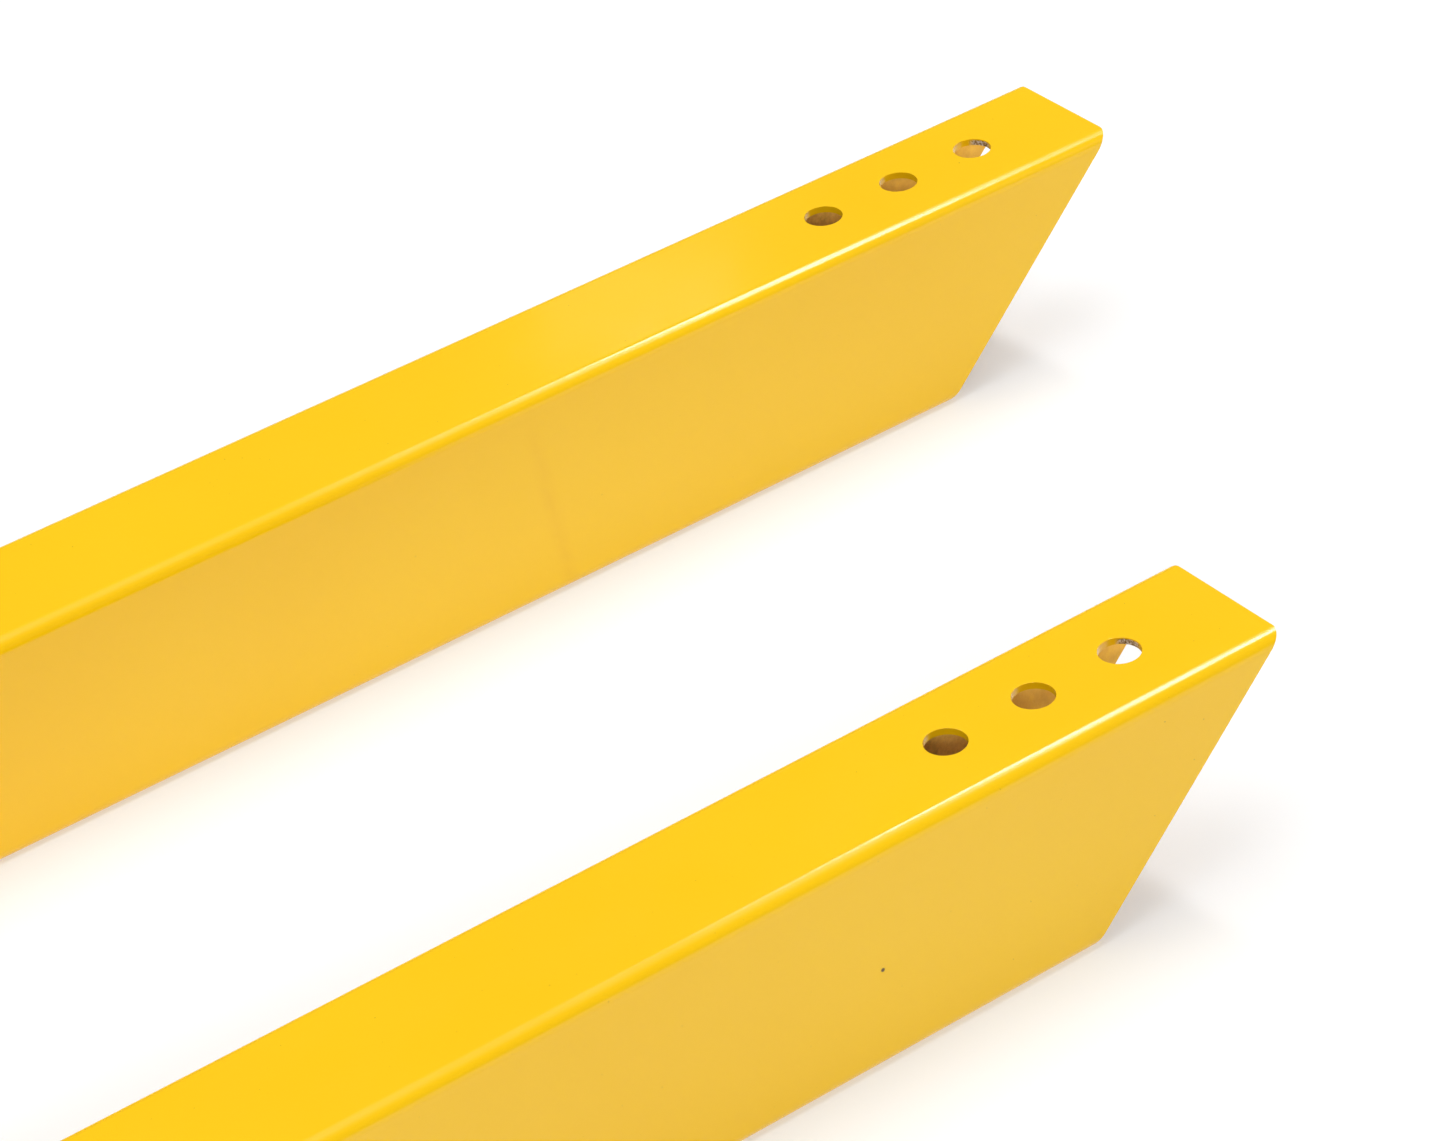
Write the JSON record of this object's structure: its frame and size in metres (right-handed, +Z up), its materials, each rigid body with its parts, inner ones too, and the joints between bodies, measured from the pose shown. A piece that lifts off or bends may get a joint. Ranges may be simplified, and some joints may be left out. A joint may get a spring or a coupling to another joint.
{
  "type": "clamp-on pallet fork pair",
  "caption": "Pair of clamp-on bucket pallet forks: open-ended rectangular tube tines with slanted drilled tips, screw clamps for a loader bucket's lip and a telescoping stabiliser bar.",
  "frame": {"origin": "centre of the bounding box at the level the tines stand on", "axes": "+X along the tines towards their tips, +Y from the near fork to the far fork, +Z up"},
  "size_m": [1.2446, 0.4548, 0.2727],
  "materials": {
    "yellow_paint": "glossy powder coat with fine orange peel",
    "zinc_steel": "bright zinc plate",
    "black_oxide_steel": "oiled black oxide",
    "bare_steel": "bare machined steel",
    "spring_steel": "bright drawn wire",
    "black_plastic": "moulded, fine texture"
  },
  "bodies": {
    "far_fork": {"far_tine_tube": "yellow_paint", "far_rear_cap": "yellow_paint", "far_inner_cheek": "yellow_paint", "far_outer_cheek": "yellow_paint", "far_lip_stop": "yellow_paint", "far_clamp_bridge": "yellow_paint", "far_clamp_nut": "yellow_paint", "far_bar_bracket": "yellow_paint", "far_bar_pin": "zinc_steel"},
    "far_pad": {"far_pressure_pad": "bare_steel", "far_pad_ring": "spring_steel"},
    "far_screw": {"far_clamp_screw": "black_oxide_steel"},
    "far_tee": {"far_tee_bar": "zinc_steel", "far_tee_knobs": "black_plastic"},
    "far_clip": {"far_pin_clip": "spring_steel"},
    "near_fork": {"near_tine_tube": "yellow_paint", "near_rear_cap": "yellow_paint", "near_inner_cheek": "yellow_paint", "near_outer_cheek": "yellow_paint", "near_lip_stop": "yellow_paint", "near_clamp_bridge": "yellow_paint", "near_clamp_nut": "yellow_paint", "near_bar_bracket": "yellow_paint", "near_bar_pin": "zinc_steel"},
    "near_pad": {"near_pressure_pad": "bare_steel", "near_pad_ring": "spring_steel"},
    "near_screw": {"near_clamp_screw": "black_oxide_steel"},
    "near_tee": {"near_tee_bar": "zinc_steel", "near_tee_knobs": "black_plastic"},
    "near_clip": {"near_pin_clip": "spring_steel"},
    "bar_outer": {"bar_sleeve": "yellow_paint", "sleeve_cap": "yellow_paint", "sleeve_eye": "yellow_paint", "bar_lock_nuts": "yellow_paint", "bar_lock_bolts": "zinc_steel"},
    "bar_inner": {"bar_slider": "zinc_steel", "slider_cap": "zinc_steel", "slider_eye": "zinc_steel"}
  },
  "joints": [
    {"name": "bar_swing", "type": "hinge", "parent": "far_fork", "child": "bar_outer", "pos_m": [-0.0917, 0.07858, 0.0381], "axis": [0, 0, 1], "range_deg": [-12, 100]},
    {"name": "bar_extend", "type": "slide", "parent": "bar_outer", "child": "bar_inner", "axis": [-0.6962, -0.7179, 0], "range_m": [-0.012, 0.055]},
    {"name": "near_fork_turn", "type": "hinge", "parent": "bar_inner", "child": "near_fork", "pos_m": [-0.2441, -0.07858, 0.0381], "axis": [0, 0, 1], "range_deg": [-100, 12]},
    {"name": "far_screw_feed", "type": "slide", "parent": "far_fork", "child": "far_pad", "axis": [0, 0, -1], "range_m": [-0.02625, 0.02625]},
    {"name": "far_screw_turn", "type": "hinge", "parent": "far_pad", "child": "far_screw", "pos_m": [-0.3077, 0.13198, 0.16], "axis": [0, 0, -1], "range_deg": [-3150, 3150]},
    {"name": "far_tee_slide", "type": "slide", "parent": "far_screw", "child": "far_tee", "axis": [0.4226, 0.9063, 0], "range_m": [-0.062, 0.062]},
    {"name": "far_clip_pull", "type": "slide", "parent": "far_fork", "child": "far_clip", "axis": [1, 0, 0], "range_m": [0, 0.04]},
    {"name": "near_screw_feed", "type": "slide", "parent": "near_fork", "child": "near_pad", "axis": [0, 0, -1], "range_m": [-0.02625, 0.02625]},
    {"name": "near_screw_turn", "type": "hinge", "parent": "near_pad", "child": "near_screw", "pos_m": [-0.4601, -0.13198, 0.16], "axis": [0, 0, -1], "range_deg": [-3150, 3150]},
    {"name": "near_tee_slide", "type": "slide", "parent": "near_screw", "child": "near_tee", "axis": [-0.4226, 0.9063, 0], "range_m": [-0.062, 0.062]},
    {"name": "near_clip_pull", "type": "slide", "parent": "near_fork", "child": "near_clip", "axis": [1, 0, 0], "range_m": [0, 0.04]}
  ],
  "couplings": [
    {"joint": "near_fork_turn", "follows": "bar_swing", "ratio": -1},
    {"joint": "far_screw_feed", "follows": "far_screw_turn", "m_per_rad": 0.00047746},
    {"joint": "near_screw_feed", "follows": "near_screw_turn", "m_per_rad": 0.00047746}
  ]
}
